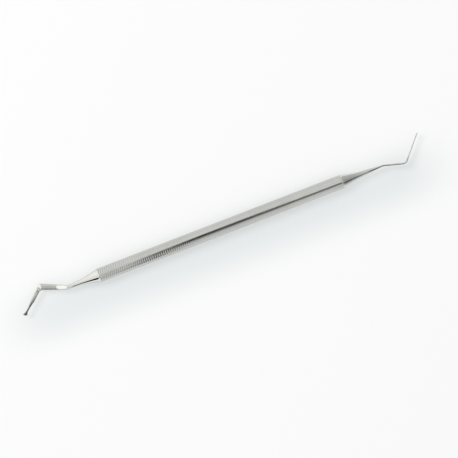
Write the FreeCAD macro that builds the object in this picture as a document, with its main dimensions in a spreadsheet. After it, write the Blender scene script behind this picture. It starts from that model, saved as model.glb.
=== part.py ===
import FreeCAD, Part
import math
import os
import Sketcher

# Double-ended filling spatula, one piece of stainless bar.
# The handle lies along X with its middle at X = 0 and its lower smooth face on Z = 0.
# At -X the blade lies level, in the plane of its bends; at +X it stands on its edge.

doc = FreeCAD.newDocument("filling_spatula")

# Driving sizes, in millimetres and degrees
SIZES = (
    ("handle_length", 104.0, "octagonal part of the bar, between the two turned necks"),
    ("handle_across", 5.6, "across two opposite smooth faces"),
    ("smooth_face", 1.95, "width of each smooth face"),
    ("serration_pitch", 0.89, "from one cross groove to the next"),
    ("serration_depth", 0.22, "depth of a cross groove below its face"),
    ("serration_flank", 45.0, "slope of each side of a cross groove"),
    ("neck_sweep", 12.3, "length of the hollow curve of each neck"),
    ("neck_diameter", 1.93, "round bar at the thin end of each neck"),
    ("shank_thickness", 0.72, "flat shank past the end of its hollow flats"),
    ("knee_thickness", 0.66, "flat shank where it meets the knee"),
    ("knee_width", 2.74, "widest part of the shank, at the knee"),
    ("root_thickness", 0.42, "blade just past the knee"),
    ("tip_thickness", 0.34, "blade at its free end"),
    ("knee_step", 1.2, "length over which the blade thins beside the knee"),
    ("blade_width", 1.64, "blade between the knee and its taper"),
    ("waist_width", 0.94, "narrowest part of the blade"),
    ("tip_width", 2.0, "flared free end of the blade, corner to corner"),
    ("taper_start", 6.4, "along the blade from the knee to the start of its taper"),
    ("flare_length", 2.1, "from the waist to the corners of the free end"),
    ("tip_crown", 0.3, "how far the free end bulges past its corners"),
    ("level_stub", 0.05, "round bar between neck and bend, level end"),
    ("level_lean", 22.2, "turn of the first bend, level end"),
    ("level_bend", 3.0, "radius of the first bend, level end"),
    ("level_shank", 11.2, "from the first bend to the knee, level end"),
    ("level_turn", 63.4, "turn of the knee, level end"),
    ("level_blade", 12.5, "from the knee to the free end's corners, level end"),
    ("level_inside", 1.6, "rounding in the inside corner of the knee, level end"),
    ("level_skew", 0.25, "how far the outer corner of the level blade runs ahead"),
    ("level_flat_lead", 5.2, "cut of the flats starts clear of the bar this far before the bend, level end"),
    ("level_flat_end", 5.0, "flats reach full depth this far past the bend, along the handle, level end"),
    ("level_flat_rise", 1.3, "height of the start of that cut above the full depth, level end"),
    ("level_flat_hollow", 40.0, "radius of the hollow of the flats, level end"),
    ("upright_stub", 4.4, "round bar between neck and bend, upright end"),
    ("upright_lean", 15.7, "turn of the first bend, upright end"),
    ("upright_bend", 2.5, "radius of the first bend, upright end"),
    ("upright_shank", 9.1, "from the first bend to the knee, upright end"),
    ("upright_turn", 64.4, "turn of the knee, upright end"),
    ("upright_knee", 2.2, "radius of the knee, upright end"),
    ("upright_blade", 12.8, "from the knee to the free end's corners, upright end"),
    ("upright_shoulder", 2.2, "length over which the upright blade narrows past the knee"),
    ("upright_flat_lead", 9.2, "cut of the flats starts clear of the bar this far before it, upright end"),
    ("upright_flat_end", 1.0, "flats reach full depth this far before the bend, upright end"),
    ("upright_flat_rise", 1.05, "height of the start of that cut above the full depth, upright end"),
    ("upright_flat_hollow", 90.0, "radius of the hollow of the flats, upright end"),
)

sheet = doc.addObject("Spreadsheet::Sheet", "sizes")
for row, (alias, value, note) in enumerate(SIZES, start=1):
    sheet.set(f"A{row}", note)
    sheet.set(f"B{row}", str(value))
    sheet.setAlias(f"B{row}", alias)
doc.recompute()

# How far a cutting profile reaches past the metal that it cuts away
CUT_PAST = 1.0

# Lengths that several features share, as expressions on the sizes
HALF_HANDLE = "sizes.handle_length / 2"
HALF_ACROSS = "sizes.handle_across / 2"
HALF_SMOOTH = "sizes.smooth_face / 2"
NECK_RADIUS = "sizes.neck_diameter / 2"
CORNER_RADIUS = f"sqrt(({HALF_ACROSS})^2 + ({HALF_SMOOTH})^2)"
DIAGONAL_HEIGHT = "((sizes.handle_across + sizes.smooth_face) / (2 * sqrt(2)))"
DIAGONAL_HALF = "((sizes.handle_across - sizes.smooth_face) / (2 * sqrt(2)))"
KNEE_HALF = "(sizes.knee_width / 2)"
BLADE_HALF = "(sizes.blade_width / 2)"
WAIST_HALF = "(sizes.waist_width / 2)"
TIP_HALF = "(sizes.tip_width / 2)"


def bend_start(end):
    return f"({HALF_HANDLE} + sizes.neck_sweep + sizes.{end}_stub)"


def bend_tangent(end):
    return f"(sizes.{end}_bend * tan(sizes.{end}_lean / 2))"


def bend_corner(end):
    return f"({bend_start(end)} + {bend_tangent(end)})"


def knee_along(end):
    return f"({bend_corner(end)} + sizes.{end}_shank * cos(sizes.{end}_lean))"


def knee_aside(end):
    return f"(sizes.{end}_shank * sin(sizes.{end}_lean))"


# The finished piece stands on its lower smooth face, so its axis is half its height above Z = 0.
body = doc.addObject("PartDesign::Body", "spatula")
body.Label = "spatula"
body.setExpression(".Placement.Base.z", HALF_ACROSS)


def origin_feature(role):
    return next(item for item in body.Origin.OriginFeatures if item.Role == role)


def new_sketch(name, plane, shift=("0", "0", "0"), turn_axis=(0, 0, 1), turn="0"):
    """Sketch on an origin plane, shifted and turned by expressions."""
    sketch = body.newObject("Sketcher::SketchObject", name)
    sketch.AttachmentSupport = [(origin_feature(plane), "")]
    sketch.MapMode = "FlatFace"
    axis = FreeCAD.Vector(*turn_axis)
    sketch.AttachmentOffset = FreeCAD.Placement(FreeCAD.Vector(), FreeCAD.Rotation(axis, 1))
    for letter, length in zip("xyz", shift):
        sketch.setExpression(f".AttachmentOffset.Base.{letter}", length)
    sketch.setExpression(".AttachmentOffset.Rotation.Angle", turn)
    return sketch


def value_of(sketch, expression):
    return float(sketch.evalExpression(expression))


def hold(sketch, kind, where, expression):
    """Dimension of the sketch that follows an expression on the sizes."""
    index = sketch.addConstraint(Sketcher.Constraint(kind, *where, value_of(sketch, expression)))
    sketch.setExpression(f"Constraints[{index}]", expression)


def hold_point(sketch, geometry, end, place):
    hold(sketch, "DistanceX", (-1, 1, geometry, end), place[0])
    hold(sketch, "DistanceY", (-1, 1, geometry, end), place[1])


def add_arc(sketch, start, stop, radius):
    """Short arc from start to stop, its centre to the left of the way for a positive radius.

    Returns the arc and the numbers of its ends at start and at stop.
    """
    chord = stop - start
    left = FreeCAD.Vector(-chord.y, chord.x, 0).normalize()
    depth = math.sqrt(radius * radius - chord.Length * chord.Length / 4)
    centre = start + chord * 0.5 + left * math.copysign(depth, radius)
    circle = Part.Circle(centre, FreeCAD.Vector(0, 0, 1), abs(radius))
    first, last = (start, stop) if radius > 0 else (stop, start)
    angles = [math.atan2(point.y - centre.y, point.x - centre.x) for point in (first, last)]
    if angles[1] < angles[0]:
        angles[1] += 2 * math.pi
    arc = sketch.addGeometry(Part.ArcOfCircle(circle, *angles))
    return (arc, 1, 2) if radius > 0 else (arc, 2, 1)


def draw_outline(sketch, corners):
    """Closed outline through corners of two expressions, x and y.

    A corner marked "round" is rounded by its radius. A corner marked "arc" is reached along an
    arc of its radius, whose centre is to the left of the way for a positive radius.
    """
    count = len(corners)
    points = [FreeCAD.Vector(value_of(sketch, x), value_of(sketch, y), 0) for x, y, *_ in corners]
    arrivals = []
    departures = []
    for here, (_, _, *finish) in enumerate(corners):
        point = points[here]
        back = (points[here - 1] - point).normalize()
        ahead = (points[(here + 1) % count] - point).normalize()
        reach = 0.0
        if finish and finish[0] == "round":
            reach = value_of(sketch, finish[1]) / math.tan(back.getAngle(ahead) / 2)
        arrivals.append(point + back * reach)
        departures.append(point + ahead * reach)
    edges = []
    for here in range(count):
        there = (here + 1) % count
        finish = corners[there][2:]
        if finish and finish[0] == "arc":
            edge = add_arc(sketch, departures[here], arrivals[there], value_of(sketch, finish[1]))
            hold(sketch, "Radius", (edge[0],), f"abs({finish[1]})")
            edges.append(edge)
        else:
            shape = Part.LineSegment(departures[here], arrivals[there])
            edges.append((sketch.addGeometry(shape), 1, 2))
    for here, (x, y, *finish) in enumerate(corners):
        before, _, before_end = edges[here - 1]
        after, after_end, _ = edges[here]
        if finish and finish[0] == "round":
            places = (arrivals[here], departures[here], points[here])
            round_corner(sketch, (before, before_end), (after, after_end), (x, y, finish[1]), places)
        else:
            sketch.addConstraint(Sketcher.Constraint("Coincident", before, before_end, after, after_end))
            hold_point(sketch, after, after_end, (x, y))


def round_corner(sketch, before, after, corner, places):
    """Arc tangent to two lines whose crossing point is held."""
    start, stop, point = places
    x, y, radius = corner
    turns_left = (point - start).cross(stop - point).z > 0
    size = value_of(sketch, radius)
    arc, start_end, stop_end = add_arc(sketch, start, stop, size if turns_left else -size)
    crossing = sketch.addGeometry(Part.Point(point), True)
    hold_point(sketch, crossing, 1, (x, y))
    sketch.addConstraint(Sketcher.Constraint("PointOnObject", crossing, 1, before[0]))
    sketch.addConstraint(Sketcher.Constraint("PointOnObject", crossing, 1, after[0]))
    sketch.addConstraint(Sketcher.Constraint("Tangent", before[0], before[1], arc, start_end))
    sketch.addConstraint(Sketcher.Constraint("Tangent", after[0], after[1], arc, stop_end))
    hold(sketch, "Radius", (arc,), radius)


def new_step(kind, name, profile=None):
    made = body.newObject(f"PartDesign::{kind}", name)
    if profile is not None:
        made.Profile = profile
    return made


def finish_step(made, grows):
    """Recompute, and make sure that the step was made and added or took away metal as it should."""
    volume_before = finish_step.volume
    doc.recompute()
    finish_step.volume = made.Shape.Volume
    change = made.Shape.Volume - volume_before
    print(f"{made.Name}: {change:+.3f} mm3, {len(made.Shape.Solids)} solid")
    if "Invalid" in made.State or "Error" in made.State or made.Shape.isNull():
        raise RuntimeError(f"{made.Name} failed: {made.State}")
    if not made.Shape.isValid() or (change > 0) != grows:
        raise RuntimeError(f"{made.Name} has a wrong shape, change {change:.4f} mm3")


finish_step.volume = 0.0

# Octagonal bar
# Four smooth faces lie square to Y and Z, and four wider faces lie between them.
bar_section = new_sketch("bar_section", "YZ_Plane")
draw_outline(
    bar_section,
    (
        (HALF_ACROSS, HALF_SMOOTH),
        (HALF_SMOOTH, HALF_ACROSS),
        (f"-{HALF_SMOOTH}", HALF_ACROSS),
        (f"-{HALF_ACROSS}", HALF_SMOOTH),
        (f"-{HALF_ACROSS}", f"-{HALF_SMOOTH}"),
        (f"-{HALF_SMOOTH}", f"-{HALF_ACROSS}"),
        (HALF_SMOOTH, f"-{HALF_ACROSS}"),
        (HALF_ACROSS, f"-{HALF_SMOOTH}"),
    ),
)
bar = new_step("Pad", "bar", bar_section)
bar.SideType = "Two sides"
bar.setExpression("Length", bend_start("upright"))
bar.setExpression("Length2", bend_start("level"))
finish_step(bar, True)


# Necks
# Each end of the bar is turned to a hollow curve that runs out into a thin round stub.
def turn_neck(end, side):
    drop = f"({HALF_ACROSS} - {NECK_RADIUS})"
    hollow = f"(({drop}^2 + sizes.neck_sweep^2) / (2 * {drop}))"
    near_end = f"({HALF_HANDLE} - {CUT_PAST})"
    near_radius = f"({NECK_RADIUS} + {hollow} - sqrt({hollow}^2 - (sizes.neck_sweep + {CUT_PAST})^2))"
    thin_end = f"({HALF_HANDLE} + sizes.neck_sweep)"
    far_end = f"({bend_start(end)} + {CUT_PAST})"
    clear_radius = f"({CORNER_RADIUS} + {CUT_PAST})"
    profile = new_sketch(f"{end}_neck_profile", "XY_Plane")
    draw_outline(
        profile,
        (
            (f"{side} * {near_end}", near_radius),
            (f"{side} * {thin_end}", NECK_RADIUS, "arc", f"{side} * {hollow}"),
            (f"{side} * {far_end}", NECK_RADIUS),
            (f"{side} * {far_end}", clear_radius),
            (f"{side} * {near_end}", clear_radius),
        ),
    )
    neck = new_step("Groove", f"{end}_neck", profile)
    neck.ReferenceAxis = (origin_feature("X_Axis"), [""])
    neck.Angle = 360
    finish_step(neck, False)


turn_neck("level", -1)
turn_neck("upright", 1)


# Bends and shanks
# Past its neck each end is a round bar, bent and then drawn out wider towards the knee.
# The level end turns towards +Y, the upright end towards -Y.
def sweep_round(name, radius, bend_radius, angle, sides, place):
    """Round bar bent about a pin that stands along Z, drawn where the bend starts.

    The sides are those of the way along the instrument, in X, and of the pin, in Y.
    """
    way_side, pivot_side = sides
    shift, turn = place
    profile = new_sketch(f"{name}_profile", "YZ_Plane", shift=shift, turn_axis=(0, 1, 0), turn=turn)
    size = value_of(profile, radius)
    circle = profile.addGeometry(Part.Circle(FreeCAD.Vector(), FreeCAD.Vector(0, 0, 1), size))
    profile.addConstraint(Sketcher.Constraint("Coincident", circle, 3, -1, 1))
    hold(profile, "Radius", (circle,), radius)
    pin_place = f"{pivot_side} * {bend_radius}"
    pivot = value_of(profile, pin_place)
    pin_ends = (FreeCAD.Vector(pivot, -CUT_PAST, 0), FreeCAD.Vector(pivot, CUT_PAST, 0))
    pin = profile.addGeometry(Part.LineSegment(*pin_ends), True)
    hold_point(profile, pin, 1, (pin_place, f"-{CUT_PAST}"))
    hold_point(profile, pin, 2, (pin_place, f"{CUT_PAST}"))
    bend = new_step("Revolution", name, profile)
    bend.ReferenceAxis = (profile, ["Axis0"])
    bend.setExpression("Angle", angle)
    bend.Reversed = way_side * pivot_side < 0
    finish_step(bend, True)


def draw_out_shank(end, side, length):
    """Round shank from the first bend to the knee, wider at the knee."""
    heading = "180 - sizes.level_lean" if side < 0 else "-sizes.upright_lean"
    corner = (f"{side} * {bend_corner(end)}", "0", "0")
    profile = new_sketch(f"{end}_shank_profile", "XY_Plane", shift=corner, turn=heading)
    draw_outline(
        profile,
        (
            (bend_tangent(end), "0"),
            (length, "0"),
            (length, KNEE_HALF),
            (bend_tangent(end), NECK_RADIUS),
        ),
    )
    shank = new_step("Revolution", f"{end}_shank", profile)
    shank.ReferenceAxis = (profile, ["H_Axis"])
    shank.Angle = 360
    finish_step(shank, True)


level_bend_place = (("0", "0", f"-{bend_start('level')}"), "0")
sweep_round(
    "level_first_bend", NECK_RADIUS, "sizes.level_bend", "sizes.level_lean", (-1, 1), level_bend_place
)
draw_out_shank("level", -1, "sizes.level_shank")

upright_bend_place = (("0", "0", bend_start("upright")), "0")
sweep_round(
    "upright_first_bend", NECK_RADIUS, "sizes.upright_bend", "sizes.upright_lean", (1, -1), upright_bend_place
)
upright_knee_tangent = "(sizes.upright_knee * tan(sizes.upright_turn / 2))"
upright_shank_length = f"(sizes.upright_shank - {upright_knee_tangent})"
draw_out_shank("upright", 1, upright_shank_length)


# Outline of one edge of a blade, from its taper to its free end
# Past taper_start it narrows along a hollow curve to the waist and flares again to the free end.
def hollow_radius(run, rise):
    return f"(({run}^2 + {rise}^2) / (2 * {rise}))"


def waist_place(end):
    return f"(sizes.{end}_blade - sizes.flare_length)"


def taper_radius(end):
    return hollow_radius(f"({waist_place(end)} - sizes.taper_start)", f"({BLADE_HALF} - {WAIST_HALF})")


FLARE_RADIUS = hollow_radius("sizes.flare_length", f"({TIP_HALF} - {WAIST_HALF})")
CROWN_RADIUS = hollow_radius(TIP_HALF, "sizes.tip_crown")

# Level blade
# A flat plate that takes over from the round shank at the knee, with a sharp outside corner.
# In its own frame X runs along the blade and +Y is the inside of the knee.
turn = "sizes.level_turn"
level_knee = (f"-{knee_along('level')}", knee_aside("level"), "0")
plate_profile = new_sketch(
    "level_blade_profile", "XY_Plane", shift=level_knee, turn=f"180 - sizes.level_lean + {turn}"
)
corner_shift = f"(({BLADE_HALF} - {KNEE_HALF} * cos({turn})) / sin({turn}))"
corner_back = f"({KNEE_HALF} * sin({turn}) - {corner_shift} * cos({turn}))"
# The plate's root stays inside the round shank, so that only its corners stand out of it.
ROOT_SHARE = 0.8
root_back = f"(sizes.knee_width * {ROOT_SHARE})"
root_half = f"({KNEE_HALF} * {ROOT_SHARE})"
outer_tip = "(sizes.level_blade + sizes.level_skew)"
inner_tip = "(sizes.level_blade - sizes.level_skew)"
outer_flare = hollow_radius("(sizes.flare_length + sizes.level_skew)", f"({TIP_HALF} - {WAIST_HALF})")
inner_flare = hollow_radius("(sizes.flare_length - sizes.level_skew)", f"({TIP_HALF} - {WAIST_HALF})")
draw_outline(
    plate_profile,
    (
        (f"-{corner_back}", f"-{BLADE_HALF}"),
        ("sizes.taper_start", f"-{BLADE_HALF}"),
        (waist_place("level"), f"-{WAIST_HALF}", "arc", f"-{taper_radius('level')}"),
        (outer_tip, f"-{TIP_HALF}", "arc", f"-{outer_flare}"),
        (inner_tip, TIP_HALF, "arc", CROWN_RADIUS),
        (waist_place("level"), WAIST_HALF, "arc", f"-{inner_flare}"),
        ("sizes.taper_start", BLADE_HALF, "arc", f"-{taper_radius('level')}"),
        (corner_back, BLADE_HALF, "round", "sizes.level_inside"),
        (
            f"-{root_back} * cos({turn}) + {root_half} * sin({turn})",
            f"{root_back} * sin({turn}) + {root_half} * cos({turn})",
        ),
        (
            f"-{root_back} * cos({turn}) - {root_half} * sin({turn})",
            f"{root_back} * sin({turn}) - {root_half} * cos({turn})",
        ),
    ),
)
plate = new_step("Pad", "level_blade", plate_profile)
plate.SideType = "Symmetric"
plate.setExpression("Length", "sizes.shank_thickness")
finish_step(plate, True)

# Upright knee and blade
# The round bar goes on round the knee and along the blade, as wide as the blade is at each place.
knee_start = (
    f"{bend_corner('upright')} + {upright_shank_length} * cos(sizes.upright_lean)",
    f"-{upright_shank_length} * sin(sizes.upright_lean)",
)
sweep_round(
    "upright_second_bend",
    KNEE_HALF,
    "sizes.upright_knee",
    "sizes.upright_turn",
    (1, 1),
    ((knee_start[1], "0", knee_start[0]), "sizes.upright_lean"),
)
heading = "(sizes.upright_turn - sizes.upright_lean)"
upright_knee_corner = (knee_along("upright"), f"-{knee_aside('upright')}", "0")
blade_profile = new_sketch("upright_blade_profile", "XY_Plane", shift=upright_knee_corner, turn=heading)
shoulder_end = f"({upright_knee_tangent} + sizes.upright_shoulder)"
shoulder_radius = hollow_radius("sizes.upright_shoulder", f"({KNEE_HALF} - {BLADE_HALF})")
draw_outline(
    blade_profile,
    (
        (upright_knee_tangent, "0"),
        ("sizes.upright_blade + sizes.tip_crown", "0"),
        ("sizes.upright_blade", TIP_HALF, "arc", CROWN_RADIUS),
        (waist_place("upright"), WAIST_HALF, "arc", f"-{FLARE_RADIUS}"),
        ("sizes.taper_start", BLADE_HALF, "arc", f"-{taper_radius('upright')}"),
        (shoulder_end, BLADE_HALF),
        (upright_knee_tangent, KNEE_HALF, "arc", f"-{shoulder_radius}"),
    ),
)
blade = new_step("Revolution", "upright_blade", blade_profile)
blade.ReferenceAxis = (blade_profile, ["H_Axis"])
blade.Angle = 360
finish_step(blade, True)

# Forged flats of the level end
# Seen from the side: hollow flats down to the shank's thickness, a step at the knee, a thin blade.
flat_start = f"-({bend_corner('level')} - sizes.level_flat_lead)"
flat_full = f"-({bend_corner('level')} + sizes.level_flat_end)"
step_start = f"-{knee_along('level')}"
step_end = f"(-{knee_along('level')} - sizes.knee_step)"
past_tip = f"-({knee_along('level')} + sizes.level_blade + {CUT_PAST})"
above = f"({HALF_ACROSS} + {CUT_PAST})"
flats_profile = new_sketch("level_flats_profile", "XZ_Plane")
draw_outline(
    flats_profile,
    (
        (flat_start, above),
        (flat_start, "sizes.shank_thickness / 2 + sizes.level_flat_rise"),
        (flat_full, "sizes.shank_thickness / 2", "arc", "-sizes.level_flat_hollow"),
        (step_start, "sizes.knee_thickness / 2"),
        (step_end, "sizes.root_thickness / 2"),
        (past_tip, "sizes.tip_thickness / 2"),
        (past_tip, above),
    ),
)
upper_flats = new_step("Pocket", "level_upper_flats", flats_profile)
upper_flats.SideType = "Symmetric"
upper_flats.setExpression("Length", "4 * sizes.level_blade")
finish_step(upper_flats, False)
lower_flats = new_step("Mirrored", "level_lower_flats")
lower_flats.Originals = [upper_flats]
lower_flats.MirrorPlane = (origin_feature("XY_Plane"), [""])
body.Tip = lower_flats
finish_step(lower_flats, False)

# Forged flats of the upright end
# Seen from above: everything outside a thin bent strip is taken away.
lean = "sizes.upright_lean"
whole_turn = "sizes.upright_turn"
corner_x = bend_corner("upright")
knee_x = knee_along("upright")
knee_y = f"(-{knee_aside('upright')})"
half_shank = "(sizes.shank_thickness / 2)"
half_knee = "(sizes.knee_thickness / 2)"


def strip_corner_at_bend(side):
    return (
        f"{corner_x} + {side} * {half_shank} * tan({lean} / 2)",
        f"{side} * {half_shank}",
        "round",
        f"(sizes.upright_bend + {side} * {half_shank})",
    )


def strip_corner_at_knee(side):
    return (
        f"{knee_x} + {side} * {half_knee} * (sin({lean}) - sin({heading})) / (1 + cos({whole_turn}))",
        f"{knee_y} + {side} * {half_knee} * (cos({lean}) + cos({heading})) / (1 + cos({whole_turn}))",
        "round",
        f"(sizes.upright_knee - {side} * {half_knee})",
    )


def beside_blade(along, half, side):
    return (
        f"{knee_x} + {along} * cos({heading}) - {side} * {half} * sin({heading})",
        f"{knee_y} + {along} * sin({heading}) + {side} * {half} * cos({heading})",
    )


thin_from = f"({upright_knee_tangent} + sizes.knee_thickness / 2)"
thin_to = f"({thin_from} + sizes.knee_step)"
strip_end = f"(sizes.upright_blade + sizes.tip_crown + {CUT_PAST})"
strip_start = f"({corner_x} - sizes.upright_flat_lead)"
strip_full = f"({corner_x} - sizes.upright_flat_end)"
strip_rise = f"({half_shank} + sizes.upright_flat_rise)"
clear_far = f"({knee_x} + sizes.upright_blade + {CUT_PAST})"
clear_side = f"(sizes.upright_blade + {CUT_PAST})"
strip_profile = new_sketch("upright_flats_profile", "XY_Plane")
draw_outline(
    strip_profile,
    (
        (strip_start, f"-{clear_side}"),
        (clear_far, f"-{clear_side}"),
        (clear_far, clear_side),
        (strip_start, clear_side),
        (strip_start, strip_rise),
        (strip_full, half_shank, "arc", "sizes.upright_flat_hollow"),
        strip_corner_at_bend(1),
        strip_corner_at_knee(1),
        beside_blade(thin_from, half_knee, 1),
        beside_blade(thin_to, "(sizes.root_thickness / 2)", 1),
        beside_blade(strip_end, "(sizes.tip_thickness / 2)", 1),
        beside_blade(strip_end, "(sizes.tip_thickness / 2)", -1),
        beside_blade(thin_to, "(sizes.root_thickness / 2)", -1),
        beside_blade(thin_from, half_knee, -1),
        strip_corner_at_knee(-1),
        strip_corner_at_bend(-1),
        (strip_full, f"-{half_shank}"),
        (strip_start, f"-{strip_rise}", "arc", "sizes.upright_flat_hollow"),
    ),
)
strip = new_step("Pocket", "upright_flats", strip_profile)
strip.SideType = "Symmetric"
strip.setExpression("Length", "2 * sizes.handle_across")
finish_step(strip, False)

# Cross grooves
# A comb of V teeth cuts one diagonal face along the whole handle, and the cut is made on all four.
# The handle holds a whole number of grooves, centred on its length.
COMB_GAP = 0.05
groove_rows = math.floor(sheet.get("handle_length") / sheet.get("serration_pitch"))
comb = new_sketch("cross_groove_comb", "XY_Plane", turn_axis=(1, 0, 0), turn="45")
face_height = value_of(comb, DIAGONAL_HEIGHT)
floor_height = face_height - sheet.get("serration_depth")
shoulder_height = face_height + COMB_GAP
back_height = face_height + CUT_PAST
tooth_half = (shoulder_height - floor_height) / math.tan(math.radians(sheet.get("serration_flank")))
first_groove = -sheet.get("serration_pitch") * (groove_rows - 1) / 2
comb_end = -first_groove + tooth_half + COMB_GAP
comb_points = [FreeCAD.Vector(-comb_end, back_height, 0), FreeCAD.Vector(-comb_end, shoulder_height, 0)]
for row in range(groove_rows):
    middle = first_groove + row * sheet.get("serration_pitch")
    comb_points.append(FreeCAD.Vector(middle - tooth_half, shoulder_height, 0))
    comb_points.append(FreeCAD.Vector(middle, floor_height, 0))
    comb_points.append(FreeCAD.Vector(middle + tooth_half, shoulder_height, 0))
comb_points.append(FreeCAD.Vector(comb_end, shoulder_height, 0))
comb_points.append(FreeCAD.Vector(comb_end, back_height, 0))
for point, following in zip(comb_points, comb_points[1:] + comb_points[:1]):
    comb.addGeometry(Part.LineSegment(point, following))
grooves = new_step("Pocket", "cross_grooves", comb)
grooves.Refine = False
grooves.SideType = "Symmetric"
grooves.setExpression("Length", f"2 * ({DIAGONAL_HALF} + 2 * sizes.serration_depth)")
finish_step(grooves, False)
serration = new_step("PolarPattern", "serration")
serration.Originals = [grooves]
serration.Refine = False
serration.Axis = (origin_feature("X_Axis"), [""])
serration.Angle = 360
serration.Occurrences = 4
body.Tip = serration
finish_step(serration, False)

for item in doc.Objects:
    if "Invalid" in item.State or "Error" in item.State:
        raise RuntimeError(f"{item.Name} failed: {item.State}")
finished = body.Shape
if finished.isNull() or not finished.isValid() or len(finished.Solids) != 1:
    raise RuntimeError("the spatula is not one valid solid")
os.makedirs("parts", exist_ok=True)
finished.exportStep(f"parts/{body.Label}.step")
print(f"spatula: {finished.Volume:.1f} mm3, {len(finished.Faces)} faces")
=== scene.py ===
import bpy
import cmath
import math
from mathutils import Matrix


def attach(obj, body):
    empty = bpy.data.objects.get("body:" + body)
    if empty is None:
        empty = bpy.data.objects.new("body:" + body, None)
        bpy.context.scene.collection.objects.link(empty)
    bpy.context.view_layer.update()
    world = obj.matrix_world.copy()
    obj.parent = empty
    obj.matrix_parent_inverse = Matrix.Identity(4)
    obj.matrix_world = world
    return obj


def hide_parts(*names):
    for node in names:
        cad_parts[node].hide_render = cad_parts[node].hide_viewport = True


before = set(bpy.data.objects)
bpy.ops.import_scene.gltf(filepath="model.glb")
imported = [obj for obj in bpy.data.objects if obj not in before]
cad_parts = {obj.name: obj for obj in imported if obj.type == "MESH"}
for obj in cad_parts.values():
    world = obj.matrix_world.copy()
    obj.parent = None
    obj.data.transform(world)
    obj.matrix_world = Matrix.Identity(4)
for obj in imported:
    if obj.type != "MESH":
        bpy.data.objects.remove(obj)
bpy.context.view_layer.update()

# Spatula
# One stainless steel bar from end to end: an octagonal handle with cross-grooved slanting faces,
# a turned neck at each end, and two shanks that are forged flat, bent and drawn out to thin
# spatula blades. Nothing is fixed to it.

# The bar is described by cross-sections from the tip of the level blade to the tip of the upright one.
# Each is a disc cut by eight planes: two beside it, two level ones and four slanting ones.
# Plan positions are complex numbers, X + Y j, and all lengths are in millimetres.
HANDLE_HALF = 52.0
FACE_HEIGHT = 2.8
SMOOTH_HALF = 0.975
SLANT_HEIGHT = (FACE_HEIGHT + SMOOTH_HALF) / math.sqrt(2)
NECK_SWEEP = 12.3
NECK_RADIUS = 0.965
GROOVE_PITCH = 0.89
GROOVE_DEPTH = 0.22
GROOVE_ROWS = math.floor(2 * HANDLE_HALF / GROOVE_PITCH)
# Distance of a cutting plane that lies outside the bar, so that it cuts nothing off
CLEAR = 3.2
# How sharp the edges are: the higher, the narrower their rounding
EDGE_CRISP = 42.0
BLADE_CRISP = 30.0
# Drop of a smooth face at 1 mm from its middle
FACE_SWELL = 0.038
# Where the ends start inside the handle's end, and how far apart their sections are
END_OVERLAP = 0.25
NECK_STEP = 0.35


def heading(degrees):
    return cmath.rect(1, math.radians(degrees))


def hollow(along, run, rise):
    """Height of a hollow curve that rises by rise over run, at a distance from its flat end."""
    radius = (run**2 + rise**2) / (2 * rise)
    return radius - math.sqrt(radius**2 - along**2)


def sagging(share, low, high, sag):
    """Between two heights, hanging below the straight line by sag in the middle."""
    return low + (high - low) * share - 4 * sag * share * (1 - share)


def spread(first, last, step):
    """Evenly spaced values from first to last, about a step apart, both ends included."""
    count = max(1, round(abs(last - first) / step))
    return [first + (last - first) * index / count for index in range(count + 1)]


def section(centre, aside, round_half, side=CLEAR, level=CLEAR, crisp=EDGE_CRISP, swell=0.0):
    return {
        "centre": centre,
        "aside": aside,
        "round": round_half,
        "side": side,
        "level": level,
        "crisp": crisp,
        "swell": swell,
    }


# Handle: four sections to each groove, at its edges and beside its root
ROOT_HALF = 0.02
handle_sections = []
for row in range(GROOVE_ROWS):
    row_middle = (row - (GROOVE_ROWS - 1) / 2) * GROOVE_PITCH
    for offset in (-GROOVE_DEPTH, -ROOT_HALF, ROOT_HALF, GROOVE_DEPTH):
        handle_sections.append(
            section(row_middle + offset, 1j, CLEAR, FACE_HEIGHT, FACE_HEIGHT, swell=FACE_SWELL)
        )


def neck_round(distance):
    """Radius of the turned neck at a distance from the middle of the handle."""
    from_thin = HANDLE_HALF + NECK_SWEEP - distance
    if from_thin <= 0:
        return NECK_RADIUS
    return NECK_RADIUS + hollow(from_thin, NECK_SWEEP, FACE_HEIGHT - NECK_RADIUS)


# Level end, from the handle outwards: its flats lie level, and its bends are in their plane
LEVEL_LEAN = 22.2
LEVEL_BEND = 3.0
LEVEL_STRAIGHT = HANDLE_HALF + NECK_SWEEP + 0.05
LEVEL_SHANK = 11.2
LEVEL_TURN = 63.4
LEVEL_BLADE = 12.5
LEVEL_SKEW = 0.25
KNEE_HALF = 1.37
BLADE_HALF = 0.82
WAIST_HALF = 0.47
TIP_HALF = 1.0
TAPER_START = 6.4
FLARE = 2.1
TIP_CROWN = 0.3
INSIDE_ROUND = 1.6
SHANK_THICK = 0.36
KNEE_THICK = 0.33
ROOT_THICK = 0.21
TIP_THICK = 0.17
KNEE_STEP = 1.2
# The flats of the level end start before the bend, at this half thickness and with this sag
LEVEL_FLAT_BEFORE = 5.2
LEVEL_FLAT_AFTER = 5.0
LEVEL_FLAT_HALF = 1.66
LEVEL_FLAT_SAG = 0.33

level_tangent = LEVEL_BEND * math.tan(math.radians(LEVEL_LEAN / 2))
level_corner = -(LEVEL_STRAIGHT + level_tangent)
level_shank_way = heading(180 - LEVEL_LEAN)
level_blade_way = heading(180 - LEVEL_LEAN + LEVEL_TURN)
level_knee = level_corner + LEVEL_SHANK * level_shank_way


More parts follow.
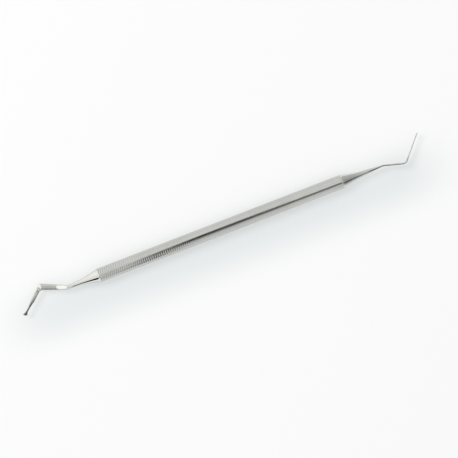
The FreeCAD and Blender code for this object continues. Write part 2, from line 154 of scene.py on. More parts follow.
def level_thickness(x):
    """Half of the thickness of the level end, which is seen from the side as one long hollow taper."""
    flat_start = level_corner + LEVEL_FLAT_BEFORE
    flat_full = level_corner - LEVEL_FLAT_AFTER
    thin_from = level_knee.real
    thin_to = thin_from - KNEE_STEP
    blade_end = level_knee.real - LEVEL_BLADE
    if x > flat_start:
        return CLEAR
    if x > flat_full:
        share = (flat_start - x) / (flat_start - flat_full)
        return sagging(share, LEVEL_FLAT_HALF, SHANK_THICK, LEVEL_FLAT_SAG)
    if x > thin_from:
        share = (flat_full - x) / (flat_full - thin_from)
        return SHANK_THICK + (KNEE_THICK - SHANK_THICK) * share
    if x > thin_to:
        return KNEE_THICK + (ROOT_THICK - KNEE_THICK) * (thin_from - x) / KNEE_STEP
    share = (thin_to - x) / (thin_to - blade_end)
    return ROOT_THICK + (TIP_THICK - ROOT_THICK) * share


def blade_half(along, blade_length, flare):
    """Half of a blade's width: parallel, then drawn in to a waist, then flared to the free end."""
    waist = blade_length - FLARE
    if along <= TAPER_START:
        return BLADE_HALF
    if along <= waist:
        return WAIST_HALF + hollow(waist - along, waist - TAPER_START, BLADE_HALF - WAIST_HALF)
    return WAIST_HALF + hollow(along - waist, flare, TIP_HALF - WAIST_HALF)


def across(outer, inner):
    """Level section between two points of the outline."""
    centre = (outer + inner) / 2
    width = abs(outer - inner)
    thick = level_thickness(centre.real)
    return section(centre, (outer - inner) / width, width / 2, level=thick, crisp=BLADE_CRISP)


def crown(half):
    """Shares of the width, and distances past the corners, of the rounded free end of a blade."""
    radius = (half**2 + TIP_CROWN**2) / (2 * TIP_CROWN)
    edge_angle = math.asin(half / radius)
    places = []
    for angle in spread(edge_angle, 0, edge_angle / 9)[1:]:
        rise = radius * (math.cos(angle) - math.cos(edge_angle))
        places.append((radius * math.sin(angle) / half, rise))
    return places


level_sections = []
for distance in spread(HANDLE_HALF - END_OVERLAP, LEVEL_STRAIGHT, NECK_STEP):
    thick = min(FACE_HEIGHT, level_thickness(-distance))
    level_sections.append(section(-distance, 1j, neck_round(distance), FACE_HEIGHT, thick))
for angle in spread(0, LEVEL_LEAN, 3.2)[1:]:
    centre = -LEVEL_STRAIGHT + 1j * LEVEL_BEND * (1 - heading(-angle))
    thick = level_thickness(centre.real)
    level_sections.append(section(centre, heading(90 - angle), NECK_RADIUS, level=thick))

# The knee turns about the middle of the rounding in its inside corner.
shank_draw = (KNEE_HALF - NECK_RADIUS) / (LEVEL_SHANK - level_tangent)
shank_aside = -1j * level_shank_way
blade_aside = -1j * level_blade_way


def shank_edge(along, side):
    half = NECK_RADIUS + shank_draw * (along - level_tangent)
    return level_corner + along * level_shank_way + side * half * shank_aside


def crossing(start, way, other_start, other_way):
    """Point where two lines of the plan cross."""
    gap = other_start - start
    share = (gap.conjugate() * other_way).imag / (way.conjugate() * other_way).imag
    return start + share * way


inner_shank = shank_edge(LEVEL_SHANK, -1)
inner_shank_way = inner_shank - shank_edge(level_tangent, -1)
inner_shank_way /= abs(inner_shank_way)
outer_shank = shank_edge(LEVEL_SHANK, 1)
outer_shank_way = outer_shank - shank_edge(level_tangent, 1)
inner_blade = level_knee - BLADE_HALF * blade_aside
outer_blade = level_knee + BLADE_HALF * blade_aside
pivot = crossing(
    inner_shank + INSIDE_ROUND * inner_shank_way * 1j,
    inner_shank_way,
    inner_blade - INSIDE_ROUND * blade_aside,
    level_blade_way,
)
outer_corner = crossing(outer_shank, outer_shank_way, outer_blade, level_blade_way)
fan_start = cmath.phase(-1j * inner_shank_way)
fan_middle = cmath.phase(outer_corner - pivot)
fan_end = cmath.phase(blade_aside)
shank_reach = ((pivot - level_corner) / level_shank_way).real
for along in spread(level_tangent, shank_reach, 0.45)[1:-1]:
    level_sections.append(across(shank_edge(along, 1), shank_edge(along, -1)))
for angle in spread(fan_start, fan_middle, 0.12) + spread(fan_middle, fan_end, 0.12)[1:]:
    ray = cmath.rect(1, angle)
    if angle <= fan_middle:
        outer = crossing(pivot, ray, outer_shank, outer_shank_way)
    else:
        outer = crossing(pivot, ray, outer_blade, level_blade_way)
    level_sections.append(across(outer, pivot + INSIDE_ROUND * ray))
blade_reach = ((pivot - level_knee) / level_blade_way).real
level_waist = LEVEL_BLADE - FLARE
for along in spread(blade_reach, level_waist, 0.3)[1:]:
    half = blade_half(along, LEVEL_BLADE, FLARE)
    middle = level_knee + along * level_blade_way
    level_sections.append(across(middle + half * blade_aside, middle - half * blade_aside))
for share in spread(0, 1, 0.1)[1:]:
    corners = []
    for side, flare in ((1, FLARE + LEVEL_SKEW), (-1, FLARE - LEVEL_SKEW)):
        along = level_waist + share * flare
        half = WAIST_HALF + hollow(share * flare, flare, TIP_HALF - WAIST_HALF)
        corners.append(level_knee + along * level_blade_way + side * half * blade_aside)
    level_sections.append(across(*corners))
outer, inner = corners
end_middle = (outer + inner) / 2
end_way = (outer - inner) / abs(outer - inner) * 1j
for share, rise in crown(abs(outer - inner) / 2):
    beyond = end_middle + rise * end_way
    if share > 0:
        reach = share * (outer - end_middle)
        level_sections.append(across(beyond + reach, beyond - reach))
    else:
        tip_aside = level_sections[-1]["aside"]
        level_sections.append(section(beyond, tip_aside, 0.0, level=TIP_THICK))

# Upright end: its flats stand on their edge, and its bends are across them
UPRIGHT_LEAN = 15.7
UPRIGHT_BEND = 2.5
UPRIGHT_STRAIGHT = HANDLE_HALF + NECK_SWEEP + 4.4
UPRIGHT_SHANK = 9.1
UPRIGHT_TURN = 64.4
UPRIGHT_KNEE = 2.2
UPRIGHT_BLADE = 12.8
UPRIGHT_SHOULDER = 2.2
# The flats of the upright end start before the bend, at this half thickness and with this sag
UPRIGHT_FLAT_BEFORE = 9.2
UPRIGHT_FLAT_FULL = 1.0
UPRIGHT_FLAT_HALF = 1.41
UPRIGHT_FLAT_SAG = 0.094

upright_tangent = UPRIGHT_BEND * math.tan(math.radians(UPRIGHT_LEAN / 2))
upright_corner = UPRIGHT_STRAIGHT + upright_tangent
knee_tangent = UPRIGHT_KNEE * math.tan(math.radians(UPRIGHT_TURN / 2))
upright_straight_shank = UPRIGHT_SHANK - upright_tangent - knee_tangent


def upright_thickness(x):
    """Half of the thickness of the straight part of the upright end."""
    flat_start = upright_corner - UPRIGHT_FLAT_BEFORE
    flat_full = upright_corner - UPRIGHT_FLAT_FULL
    if x < flat_start:
        return FACE_HEIGHT
    if x > flat_full:
        return SHANK_THICK
    share = (x - flat_start) / (flat_full - flat_start)
    return sagging(share, UPRIGHT_FLAT_HALF, SHANK_THICK, UPRIGHT_FLAT_SAG)


upright_sections = []
for distance in spread(HANDLE_HALF - END_OVERLAP, UPRIGHT_STRAIGHT, NECK_STEP):
    thick = upright_thickness(distance)
    upright_sections.append(section(distance, 1j, neck_round(distance), thick, FACE_HEIGHT))
for angle in spread(0, UPRIGHT_LEAN, 3)[1:]:
    centre = UPRIGHT_STRAIGHT - 1j * UPRIGHT_BEND * (1 - heading(-angle))
    upright_sections.append(section(centre, heading(90 - angle), NECK_RADIUS, SHANK_THICK))
shank_way = heading(-UPRIGHT_LEAN)
for along in spread(0, upright_straight_shank, 0.5)[1:]:
    share = along / upright_straight_shank
    half = NECK_RADIUS + (KNEE_HALF - NECK_RADIUS) * share
    thick = SHANK_THICK + (KNEE_THICK - SHANK_THICK) * share
    upright_sections.append(
        section(centre + along * shank_way, 1j * shank_way, half, thick, crisp=BLADE_CRISP)
    )
knee_start = centre + upright_straight_shank * shank_way
knee_pin = knee_start + 1j * shank_way * UPRIGHT_KNEE
for angle in spread(0, UPRIGHT_TURN, 6)[1:]:
    way = shank_way * heading(angle)
    upright_sections.append(
        section(knee_pin - 1j * way * UPRIGHT_KNEE, 1j * way, KNEE_HALF, KNEE_THICK, crisp=BLADE_CRISP)
    )
knee_end = knee_pin - 1j * way * UPRIGHT_KNEE
upright_knee = knee_end - knee_tangent * way


def upright_blade_half(along):
    shoulder_end = knee_tangent + UPRIGHT_SHOULDER
    if along < shoulder_end:
        return BLADE_HALF + hollow(shoulder_end - along, UPRIGHT_SHOULDER, KNEE_HALF - BLADE_HALF)
    return blade_half(along, UPRIGHT_BLADE, FLARE)


def upright_blade_thickness(along):
    thin_from = knee_tangent + KNEE_THICK
    if along < thin_from:
        return KNEE_THICK
    if along < thin_from + KNEE_STEP:
        return KNEE_THICK + (ROOT_THICK - KNEE_THICK) * (along - thin_from) / KNEE_STEP
    share = (along - thin_from - KNEE_STEP) / (UPRIGHT_BLADE - thin_from - KNEE_STEP)
    return ROOT_THICK + (TIP_THICK - ROOT_THICK) * share


for along in spread(knee_tangent, UPRIGHT_BLADE, 0.25)[1:]:
    upright_sections.append(
        section(
            upright_knee + along * way,
            1j * way,
            upright_blade_half(along),
            upright_blade_thickness(along),
            crisp=BLADE_CRISP,
        )
    )
for share, rise in crown(TIP_HALF):
    beyond = upright_knee + (UPRIGHT_BLADE + rise) * way
    upright_sections.append(section(beyond, 1j * way, share * TIP_HALF, TIP_THICK, crisp=BLADE_CRISP))

sections = level_sections[::-1] + handle_sections + upright_sections

# The sections stand on the points of a bare line, with their sizes as attributes of its points.
MM = 0.001
spine = bpy.data.meshes.new("spatula_spine")
spine.vertices.add(len(sections))
spine_points = []
spine_asides = []
for item in sections:
    spine_points += [item["centre"].real * MM, item["centre"].imag * MM, FACE_HEIGHT * MM]
    spine_asides += [item["aside"].real, item["aside"].imag, 0.0]
spine.vertices.foreach_set("co", spine_points)
asides = spine.attributes.new("aside", "FLOAT_VECTOR", "POINT")
asides.data.foreach_set("vector", spine_asides)
for name, unit in (("round", MM), ("side", MM), ("level", MM), ("crisp", 1.0), ("swell", 1 / MM)):
    sizes = spine.attributes.new(name, "FLOAT", "POINT")
    sizes.data.foreach_set("value", [item[name] * unit for item in sections])


class Socket:
    """Output of a node. Arithmetic on it adds the Math node that does that."""

    def __init__(self, tree, output):
        self.tree = tree
        self.output = output

    def __add__(self, other):
        return self.tree.math("ADD", self, other)

    def __radd__(self, other):
        return self.tree.math("ADD", other, self)

    def __sub__(self, other):
        return self.tree.math("SUBTRACT", self, other)

    def __rsub__(self, other):
        return self.tree.math("SUBTRACT", other, self)

    def __mul__(self, other):
        return self.tree.math("MULTIPLY", self, other)

    def __rmul__(self, other):
        return self.tree.math("MULTIPLY", other, self)

    def __truediv__(self, other):
        return self.tree.math("DIVIDE", self, other)

    def __rtruediv__(self, other):
        return self.tree.math("DIVIDE", other, self)

    def __pow__(self, other):
        return self.tree.math("POWER", self, other)


class Tree:
    """Node tree that is being written."""

    def __init__(self, nodes):
        self.nodes = nodes

    def node(self, kind, inputs=None, output=0, **settings):
        """Node of a type, its settings made first, then its sockets set or linked."""
        made = self.nodes.nodes.new(kind)
        for name, value in settings.items():
            setattr(made, name, value)
        for key, value in (inputs or {}).items():
            socket = made.inputs[key]
            if isinstance(value, Socket):
                self.nodes.links.new(value.output, socket)
            else:
                socket.default_value = value
        return Socket(self, made.outputs[output]) if made.outputs else None

    def math(self, operation, *values, clamp=False):
        inputs = dict(enumerate(values))
        return self.node("ShaderNodeMath", inputs, operation=operation, use_clamp=clamp)

    def ramp(self, value, low, high, to_low=0.0, to_high=1.0):
        """Soft step from to_low to to_high, while the value goes from low to high."""
        inputs = {"Value": value, "From Min": low, "From Max": high, "To Min": to_low, "To Max": to_high}
        return self.node("ShaderNodeMapRange", inputs, interpolation_type="SMOOTHSTEP")


# The skin: a grid with one row of vertices to a section, bent round it and closed
skin_nodes = bpy.data.node_groups.new("spatula_skin", "GeometryNodeTree")
skin = Tree(skin_nodes)
EDGE_WIDTH = 0.11
skin_sizes = (
    ("Spine", "NodeSocketGeometry", None),
    ("Slant Height", "NodeSocketFloat", SLANT_HEIGHT * MM),
    ("Groove Pitch", "NodeSocketFloat", GROOVE_PITCH * MM),
    ("Groove Depth", "NodeSocketFloat", GROOVE_DEPTH * MM),
    ("Groove Rows", "NodeSocketFloat", float(GROOVE_ROWS)),
    ("Edge Width", "NodeSocketFloat", EDGE_WIDTH * MM),
    ("Steel", "NodeSocketMaterial", None),
)
for name, kind, _ in skin_sizes:
    skin_nodes.interface.new_socket(name, in_out="INPUT", socket_type=kind)
skin_nodes.interface.new_socket("Skin", in_out="OUTPUT", socket_type="NodeSocketGeometry")
group_input = skin_nodes.nodes.new("NodeGroupInput")
skin_inputs = {name: Socket(skin, group_input.outputs[name]) for name, *_ in skin_sizes}

FACE_STEPS = 3
ARC_STEPS = 4
QUARTER = 2 * FACE_STEPS + 3 * ARC_STEPS
columns = 4 * QUARTER + 1
station_count = skin.node("GeometryNodeAttributeDomainSize", {"Geometry": skin_inputs["Spine"]})
grid = skin.node("GeometryNodeMeshGrid", {"Vertices X": station_count, "Vertices Y": columns})
index = skin.node("GeometryNodeInputIndex")
station = skin.math("FLOOR", (index + 0.5) / columns)
column = index - station * columns


def at_station(name, kind):
    """Attribute of the spine's point for the section that a vertex belongs to."""
    if name == "position":
        value = skin.node("GeometryNodeInputPosition")
    else:
        value = skin.node("GeometryNodeInputNamedAttribute", {"Name": name}, data_type=kind)
    inputs = {"Geometry": skin_inputs["Spine"], "Value": value, "Index": station}
    return skin.node("GeometryNodeSampleIndex", inputs, data_type=kind)


station_centre = at_station("position", "FLOAT_VECTOR")
station_aside = at_station("aside", "FLOAT_VECTOR")
round_half = at_station("round", "FLOAT")
side = at_station("side", "FLOAT")
level = at_station("level", "FLOAT")
crisp = at_station("crisp", "FLOAT")
swell = at_station("swell", "FLOAT")

# Each groove takes the slanting faces down in a V, and the grooves fill the handle's length.
station_x = skin.node("ShaderNodeSeparateXYZ", {0: station_centre})
row_place = station_x / skin_inputs["Groove Pitch"] + skin_inputs["Groove Rows"] / 2
from_groove = skin.math("ABSOLUTE", skin.math("FRACT", row_place) - 0.5) * skin_inputs["Groove Pitch"]
in_handle = skin.math(
    "LESS_THAN",
    skin.math("ABSOLUTE", station_x),
    skin_inputs["Groove Rows"] * skin_inputs["Groove Pitch"] / 2,
)
groove = skin.math("MAXIMUM", skin_inputs["Groove Depth"] - from_groove, 0.0) * in_handle
slant = skin_inputs["Slant Height"] - groove

# Angles, in the first quarter, where one side of the section ends and the next begins
slant_reach = slant * math.sqrt(2)
corner_angle = skin.math("ARCTAN2", level, side)
side_end = skin.math("MINIMUM", skin.math("ARCTAN2", slant_reach - side, side), corner_angle)
side_round = skin.math("ARCCOSINE", skin.math("MINIMUM", side / round_half, 1.0))
side_end = skin.math("MAXIMUM", skin.math("MINIMUM", side_end, side_round), 0.0)
level_start = skin.math("MAXIMUM", skin.math("ARCTAN2", level, slant_reach - level), corner_angle)
level_round = skin.math("ARCSINE", skin.math("MINIMUM", level / round_half, 1.0))
level_start = skin.math("MINIMUM", skin.math("MAXIMUM", level_start, level_round), math.pi / 2)
slant_half = skin.math("ARCCOSINE", skin.math("MINIMUM", slant / round_half, 1.0))
slant_start = skin.math("MINIMUM", skin.math("MAXIMUM", math.pi / 4 - slant_half, side_end), level_start)
slant_end = skin.math("MINIMUM", skin.math("MAXIMUM", math.pi / 4 + slant_half, side_end), level_start)

# The columns follow those angles, with one close beside each of them, so that edges stay crisp.
quarter = skin.math("FLOOR", (column + 0.5) / QUARTER)
quarter = skin.math("MINIMUM", quarter, 3.0)
step = column - quarter * QUARTER
mirrored = skin.math("MODULO", quarter, 2.0)
step = step * (1 - mirrored) + (QUARTER - step) * mirrored
edge_angle = skin_inputs["Edge Width"] / round_half
angle = 0.0
first_step = 0
span_ends = (0.0, side_end, slant_start, slant_end, level_start, math.pi / 2)
for span, (start, end) in enumerate(zip(span_ends, span_ends[1:])):
    width = skin.math("SUBTRACT", end, start)
    edge = skin.math("MINIMUM", edge_angle, width / 3)
    at_first = span == 0
    at_last = span == 4
    edges = (0 if at_first else 1) + (0 if at_last else 1)
    steps = FACE_STEPS if at_first or at_last else ARC_STEPS
    inner_width = width - edge * edges
    if not at_first:
        angle = angle + edge * skin.math("SUBTRACT", step, first_step, clamp=True)
        first_step += 1
    inner_steps = steps - edges
    angle = angle + inner_width * skin.math("DIVIDE", step - first_step, inner_steps, clamp=True)
    first_step += inner_steps
    if not at_last:
        angle = angle + edge * skin.math("SUBTRACT", step, first_step, clamp=True)
        first_step += 1

# A vertex lies where its ray first meets a side. Where two sides are about as near, the edge is eased.
# The smooth faces are not quite flat: polishing leaves each a little lower towards its edges.
cosine = skin.math("MAXIMUM", skin.math("COSINE", angle), 0.0001)
sine = skin.math("MAXIMUM", skin.math("SINE", angle), 0.0001)
across_side = side * sine / cosine
across_level = level * cosine / sine
reaches = (
    round_half,
    (side - skin.math("MINIMUM", swell * across_side * across_side, side / 2)) / cosine,
    (level - skin.math("MINIMUM", swell * across_level * across_level, level / 2)) / sine,
    slant / skin.math("COSINE", angle - math.pi / 4),
)
nearest = reaches[0]
for reach in reaches[1:]:
    nearest = skin.math("MINIMUM", nearest, reach)
crowding = 0.0
for reach in reaches:
    crowding = crowding + (nearest / reach) ** crisp
eased = nearest * skin.math("MAXIMUM", crowding, 1.0) ** (-1 / crisp)
turned_over = skin.math("LESS_THAN", skin.math("ABSOLUTE", quarter - 1.5), 1.0)
out = eased * cosine * (1 - 2 * turned_over)
up = eased * sine * (1 - 2 * skin.math("GREATER_THAN", quarter, 1.5))
offset = skin.node("ShaderNodeVectorMath", {0: station_aside, "Scale": out}, operation="SCALE")
rise = skin.node("ShaderNodeCombineXYZ", {"Z": up})
position = skin.node("ShaderNodeVectorMath", {0: station_centre, 1: offset}, operation="ADD")
position = skin.node("ShaderNodeVectorMath", {0: position, 1: rise}, operation="ADD")
bent = skin.node("GeometryNodeSetPosition", {"Geometry": grid, "Position": position})
on_slant = skin.math("GREATER_THAN", nearest * 1.02, slant / skin.math("COSINE", angle - math.pi / 4))
bent = skin.node(
    "GeometryNodeStoreNamedAttribute",
    {"Geometry": bent, "Name": "groove", "Value": groove / skin_inputs["Groove Depth"] * on_slant},
    data_type="FLOAT",
    domain="POINT",
)

# The edges of the grooves are crisp: in the handle, those that run round a section stay unsmoothed.
rim_ends = [
    skin.math("FLOOR", (skin.node("GeometryNodeInputMeshEdgeVertices", output=number) + 0.5) / columns)
    for number in (0, 1)
]
station_place = skin.node("GeometryNodeInputPosition")
rim_centre = skin.node(
    "GeometryNodeSampleIndex",
    {"Geometry": skin_inputs["Spine"], "Value": station_place, "Index": rim_ends[0]},
    data_type="FLOAT_VECTOR",
)
rim_along = skin.math("ABSOLUTE", skin.node("ShaderNodeSeparateXYZ", {0: rim_centre}))
handle_reach = skin_inputs["Groove Rows"] * skin_inputs["Groove Pitch"] / 2
on_rim = skin.math("LESS_THAN", rim_along, handle_reach) * skin.math(
    "LESS_THAN", skin.math("ABSOLUTE", rim_ends[0] - rim_ends[1]), 0.5
)
smooth = skin.node("GeometryNodeSetShadeSmooth", {"Geometry": bent})
creased = skin.node(
    "GeometryNodeSetShadeSmooth",
    {"Geometry": smooth, "Selection": on_rim, "Shade Smooth": False},
    domain="EDGE",
)
MERGE_REACH = 0.003
closed = skin.node("GeometryNodeMergeByDistance", {"Geometry": creased, "Distance": MERGE_REACH * MM})
outward = skin.node("GeometryNodeFlipFaces", {"Mesh": closed})
whole = skin.node("GeometryNodeRealizeInstances", {"Geometry": outward})
dressed = skin.node("GeometryNodeSetMaterial", {"Geometry": whole, "Material": skin_inputs["Steel"]})
group_output = skin_nodes.nodes.new("NodeGroupOutput")
skin_nodes.links.new(dressed.output, group_output.inputs["Skin"])

# Polished stainless steel: mirror-like, with the fine scratches and faint clouding of long use
steel = bpy.data.materials.new("polished_steel")
steel.use_nodes = True
steel.node_tree.nodes.clear()
finish = Tree(steel.node_tree)
steel_place = finish.node("ShaderNodeTexCoord", output="Object")


def noise(scale, detail, squeeze=(1.0, 1.0, 1.0), roughness=0.5):
    """Noise in millimetres; squeeze stretches it along an axis where it is below 1."""
    scales = [part / MM for part in squeeze]
    stretched = finish.node("ShaderNodeMapping", {"Vector": steel_place, "Scale": scales})
    inputs = {"Vector": stretched, "Scale": scale, "Detail": detail, "Roughness": roughness}
    return finish.node("ShaderNodeTexNoise", inputs, output="Fac")


# The grooves are duller than the polished faces and carry painted shade in their hollows, and the thin
# ends are less worn.
groove_depth = finish.node("ShaderNodeAttribute", output="Fac", attribute_name="groove")
in_groove = finish.ramp(groove_depth, 0.0, 0.6)
clouding = noise(0.12, 3.0)
scratches = noise(1.0, 4.0, squeeze=(0.5, 9.0, 9.0), roughness=0.65)
x_place = finish.node("ShaderNodeSeparateXYZ", {0: steel_place})
from_middle = finish.math("ABSOLUTE", x_place) * (1 / MM)
on_neck = finish.ramp(from_middle, 52.0, 53.5) * (1 - finish.ramp(from_middle, 62.0, 66.0))
turning = finish.math("SINE", from_middle * (2 * math.pi / 0.42) + noise(0.5, 2.0) * 4)
on_shank = finish.ramp(from_middle, 66.0, 70.0)
wear = 0.04 * finish.ramp(clouding, 0.35, 0.7) + 0.04 * finish.ramp(scratches, 0.45, 0.75)
wear = wear * (1 - 0.7 * on_shank)
roughness = 0.075 - 0.03 * on_shank + wear + 0.22 * in_groove
relief = scratches * 0.0012 * (1 - 0.8 * on_shank) + turning * on_neck * 0.0006
bump = finish.node(
    "ShaderNodeBump", {"Height": relief, "Distance": 1.0 * MM, "Strength": 1.0}, output="Normal"
)
BRIGHT_STEEL = (0.74, 0.742, 0.71, 1.0)
CLOUDED_STEEL = (0.695, 0.697, 0.66, 1.0)
# Colour of the painted shade in the grooves
PAINTED_GROOVE_SHADE = (0.5, 0.5, 0.48, 1.0)
tint_mix = {0: finish.ramp(clouding, 0.3, 0.7), 6: BRIGHT_STEEL, 7: CLOUDED_STEEL}
tint = finish.node("ShaderNodeMix", tint_mix, output=2, data_type="RGBA")
# Painted shade: the steel's colour is mixed towards a darker grey in the grooves.
tint_mix = {0: in_groove, 6: tint, 7: PAINTED_GROOVE_SHADE}
tint = finish.node("ShaderNodeMix", tint_mix, output=2, data_type="RGBA")
shader = finish.node(
    "ShaderNodeBsdfPrincipled",
    {"Base Color": tint, "Metallic": 1.0, "Roughness": roughness, "Normal": bump},
)
finish.node("ShaderNodeOutputMaterial", {"Surface": shader})

spine_object = bpy.data.objects.new("spatula_spine", spine)
bpy.context.scene.collection.objects.link(spine_object)
wrap = spine_object.modifiers.new("skin", "NODES")
wrap.node_group = skin_nodes
identifiers = {
    item.name: item.identifier for item in skin_nodes.interface.items_tree if item.in_out == "INPUT"
}
for name, _, value in skin_sizes[1:-1]:
    wrap[identifiers[name]] = value
wrap[identifiers["Steel"]] = steel
evaluated = spine_object.evaluated_get(bpy.context.evaluated_depsgraph_get())
spatula_mesh = bpy.data.meshes.new_from_object(evaluated)
spatula_mesh.name = "spatula_body"
spatula = bpy.data.objects.new("spatula_body", spatula_mesh)
bpy.context.scene.collection.objects.link(spatula)
bpy.data.objects.remove(spine_object)
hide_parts("spatula")
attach(spatula, "root")

# Table
# A wide white board without gloss, under the tent, which keeps the spatula's shadow.
# Below the spatula, a long soft patch of painted shadow makes it a little darker and bluer.
floor_mesh = bpy.data.meshes.new("table_top")
REACH = 1.5
floor_corners = [(-REACH, -REACH, 0), (REACH, -REACH, 0), (REACH, REACH, 0), (-REACH, REACH, 0)]
floor_mesh.from_pydata(floor_corners, [], [(0, 1, 2, 3)])
board = bpy.data.materials.new("white_board")
board.use_nodes = True
board.node_tree.nodes.clear()
paint = Tree(board.node_tree)
WHITE_PAINT = (0.97, 0.97, 0.97, 1.0)
PAINTED_SHADOW_TINT = (0.82, 0.85, 0.855, 1.0)
# The patch of painted shadow lies 7.5 mm below the axis and fades out over 18 mm, and past the ends.
SHADE_PLACE = 0.0075
SHADE_REACH = 0.0178
spot = paint.node("ShaderNodeTexCoord", output="Object")
spot_x = paint.node("ShaderNodeSeparateXYZ", {0: spot}, output=0)
spot_y = paint.node("ShaderNodeSeparateXYZ", {0: spot}, output=1)
from_axis = paint.math("ABSOLUTE", spot_y + SHADE_PLACE)
from_middle_x = paint.math("ABSOLUTE", spot_x)
painted_shadow = paint.ramp(from_axis, 0.0, SHADE_REACH, 1.0, 0.0)
painted_shadow = painted_shadow * paint.ramp(from_middle_x, 0.07, 0.105, 1.0, 0.0)
# Painted shadow: the board's colour is mixed towards a darker, bluer grey in the patch.
shade_mix = {0: painted_shadow, 6: WHITE_PAINT, 7: PAINTED_SHADOW_TINT}
board_tint = paint.node("ShaderNodeMix", shade_mix, output=2, data_type="RGBA")
board_paint = paint.node("ShaderNodeBsdfPrincipled", {"Base Color": board_tint, "Roughness": 0.9})
# Painted light: seen directly and in the steel, half of the board glows in its own colour, which lifts
# its shading and shadow.
board_glow = paint.node("ShaderNodeEmission", {"Color": board_tint, "Strength": 1.0})
board_rays = board.node_tree.nodes.new("ShaderNodeLightPath")
board_seen = paint.math(
    "MAXIMUM",
    Socket(paint, board_rays.outputs["Is Camera Ray"]),
    Socket(paint, board_rays.outputs["Is Glossy Ray"]),
)
board_shader = paint.node("ShaderNodeMixShader", {0: board_seen * 0.5, 1: board_paint, 2: board_glow})
paint.node("ShaderNodeOutputMaterial", {"Surface": board_shader})
floor_mesh.materials.append(board)
floor = bpy.data.objects.new("table_top", floor_mesh)
bpy.context.scene.collection.objects.link(floor)

# Light
# A white tent with a lamp outside it, and the dark things that polished steel mirrors: the hood
# over the work, the near side of the room, the gaps at the tent's ends, a slot and a stand.
world = bpy.data.worlds.new("tent")
bpy.context.scene.world = world
world.use_nodes = True
world.node_tree.nodes.clear()
tent = Tree(world.node_tree)
sky_way = tent.node("ShaderNodeTexCoord", output="Generated")
rays = world.node_tree.nodes.new("ShaderNodeLightPath")
seen = tent.math(
    "MAXIMUM",
    Socket(tent, rays.outputs["Is Camera Ray"]),
    Socket(tent, rays.outputs["Is Glossy Ray"]),
)
seen = tent.math("MAXIMUM", seen, Socket(tent, rays.outputs["Is Transmission Ray"]))
way_x = tent.node("ShaderNodeSeparateXYZ", {0: sky_way}, output=0)
way_y = tent.node("ShaderNodeSeparateXYZ", {0: sky_way}, output=1)
way_z = tent.node("ShaderNodeSeparateXYZ", {0: sky_way}, output=2)

# Directions are laid out flat round the zenith, in degrees of tilt: +X to the right, +Y up.
# Twice the degrees of a radian, as a direction's height is halved with its tilt
TWO_RADIANS = 114.6
flatten = TWO_RADIANS / (way_z + 1.001)
tilt_x = way_x * flatten
tilt_y = way_y * flatten


def patch(middle_x, middle_y, half_x, half_y, soft):
    """1 inside an ellipse on the tent and 0 outside, with a soft border."""
    right = (tilt_x - middle_x) / half_x
    up = (tilt_y - middle_y) / half_y
    return tent.ramp(right * right + up * up, 1 - soft, 1 + soft, 1.0, 0.0)


# The tent's cloth: lighter to the left, low down and to the far side, darker to the right,
# with three grey patches, and a window in it to the left
wall = 0.78 + tent.ramp(tilt_x, -22.0, -6.0, 0.2, 0.0) - tent.ramp(tilt_x, 10.0, 36.0, 0.0, 0.24)
wall = wall + tent.ramp(way_z, 0.1, 0.5, 0.04, 0.0) + tent.ramp(tilt_y, 12.0, 40.0, 0.0, 0.1)
wall = wall - tent.ramp(way_x, 0.09, 0.13, 0.0, 0.15)
wall = wall - tent.ramp(way_z, 0.03, 0.14, 0.05, -0.03) * tent.ramp(way_y, 0.3, 0.6)
wall = wall - patch(-9.2, 0.75, 0.75, 0.4, 0.4) * 0.3
wall = wall - patch(-21.0, -2.0, 4.5, 5.0, 0.4) * 0.3
wall = wall - patch(-5.6, 3.0, 1.7, 6.5, 0.5) * 0.1
window = (
    tent.ramp(tilt_x, -20.5, -18.5)
    * tent.ramp(tilt_x, -10.3, -9.6, 1.0, 0.0)
    * tent.ramp(tilt_y, -0.1, 0.15)
    * tent.ramp(tilt_y, 8.0, 10.0, 1.0, 0.0)
)

# The hood over the work ends at a curved line just beyond the zenith, and at the left.
roof_line = tent.ramp(tilt_x, -5.8, -2.4, -5.5, 4.0) - tent.ramp(tilt_x, -0.5, 4.6, 0.0, 7.2)
roof_line = roof_line - tent.ramp(tilt_x, 6.0, 20.0, 0.0, 60.0)
hood = (
    tent.ramp(tilt_y - roof_line, -0.7, 0.7, 1.0, 0.0)
    * tent.ramp(tilt_y, -44.0, -34.0)
    * tent.ramp(way_x, -0.08, -0.072)
)

# The room's near side shows under the hood, down to the horizon only at the left.
wall_foot = tent.ramp(way_x, -0.053, -0.043, -0.08, 0.5)
near_wall = (
    tent.ramp(tilt_y, -38.0, -30.0, 1.0, 0.0)
    * tent.ramp(way_z - wall_foot, 0.0, 0.15)
    * tent.ramp(way_x, -0.08, -0.072)
    * tent.ramp(way_x, 0.02, 0.05, 1.0, 0.65)
    * tent.ramp(way_x, 0.11, 0.13, 1.0, 0.0)
)

# Gaps in the cloth at both ends of the near side
end_gaps = (
    tent.ramp(tilt_y, -36.0, -30.0, 1.0, 0.0)
    * (
        tent.ramp(tilt_y, -70.0, -62.0) * tent.ramp(way_x, -0.15, -0.11, 1.0, 0.0)
        + tent.ramp(tilt_y, -54.0, -48.0) * tent.ramp(way_x, 0.11, 0.14)
    )
)

# A dark slot beside the window, cut off at a slant
slot_reach = (tilt_x + 10.0) * 0.74 + tilt_y * 0.67
slot = (
    tent.ramp(slot_reach, 0.22, 0.36, 1.0, 0.0)
    * tent.ramp(tilt_y, -2.6, -1.8)
    * tent.ramp(tilt_x, -13.0, -12.0)
    * tent.ramp(tilt_y, -0.05, 0.1, 1.0, 0.0)
)

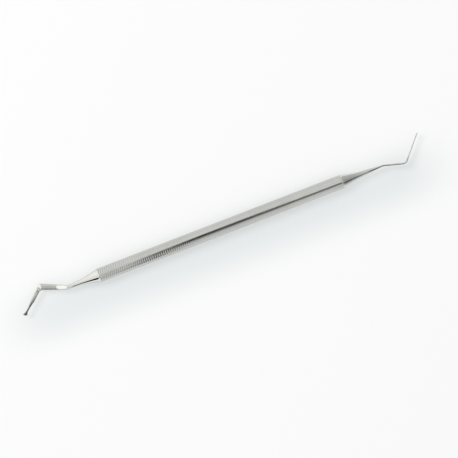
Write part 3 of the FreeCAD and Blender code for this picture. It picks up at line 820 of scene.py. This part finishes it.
# An upright stand on the near side, with a fainter one to its left
stand_place = way_x / tent.math("MAXIMUM", 0 - way_y, 0.05)
at_stand = tent.ramp(stand_place, -0.084, -0.076) * tent.ramp(stand_place, -0.05, -0.044, 1.0, 0.0)
beside_stand = tent.ramp(stand_place, -0.13, -0.12) * tent.ramp(stand_place, -0.084, -0.076, 1.0, 0.0)
stand = (
    (at_stand + beside_stand * 0.3)
    * tent.ramp(way_z, 0.2, 0.35, 1.0, 0.0)
    * tent.ramp(way_y, -0.6, -0.5, 1.0, 0.0)
)

bright = wall + window * 0.4
dark = 1 - (1 - hood) * (1 - near_wall) * (1 - end_gaps) * (1 - slot) * (1 - stand)
shown = bright * (1 - 0.98 * dark)
strength = shown * seen + (1 - seen) * 0.8
background = tent.node("ShaderNodeBackground", {"Color": (1.0, 1.0, 1.0, 1.0), "Strength": strength})
tent.node("ShaderNodeOutputWorld", {"Surface": background})

key_light = bpy.data.lights.new("key_light", "AREA")
key_light.shape = "DISK"
key_light.size = 0.5
key_light.energy = 3.4
key = bpy.data.objects.new("key_light", key_light)
key.location = (-0.5, 0.55, 0.8)
key.rotation_euler = (-key.location).to_track_quat("-Z", "Y").to_euler()
key.visible_glossy = False
bpy.context.scene.collection.objects.link(key)

# Camera
# It looks straight down from half a metre above the spatula, nearly without perspective,
# and is turned so that the handle rises to the right.
VIEW_WIDTH = 0.18175
VIEW_HEIGHT = 0.5
VIEW_MIDDLE = (3.04, -1.44)
CAMERA_TURN = -21.13
SENSOR_WIDTH = 36.0
camera_data = bpy.data.cameras.new("camera")
camera_data.sensor_width = SENSOR_WIDTH
camera_data.lens = SENSOR_WIDTH * VIEW_HEIGHT / VIEW_WIDTH
camera = bpy.data.objects.new("camera", camera_data)
camera.location = (VIEW_MIDDLE[0] * MM, VIEW_MIDDLE[1] * MM, VIEW_HEIGHT + FACE_HEIGHT * MM)
camera.rotation_euler = (0.0, 0.0, math.radians(CAMERA_TURN))
bpy.context.scene.collection.objects.link(camera)
bpy.context.scene.camera = camera
bpy.context.scene.view_settings.view_transform = "Standard"
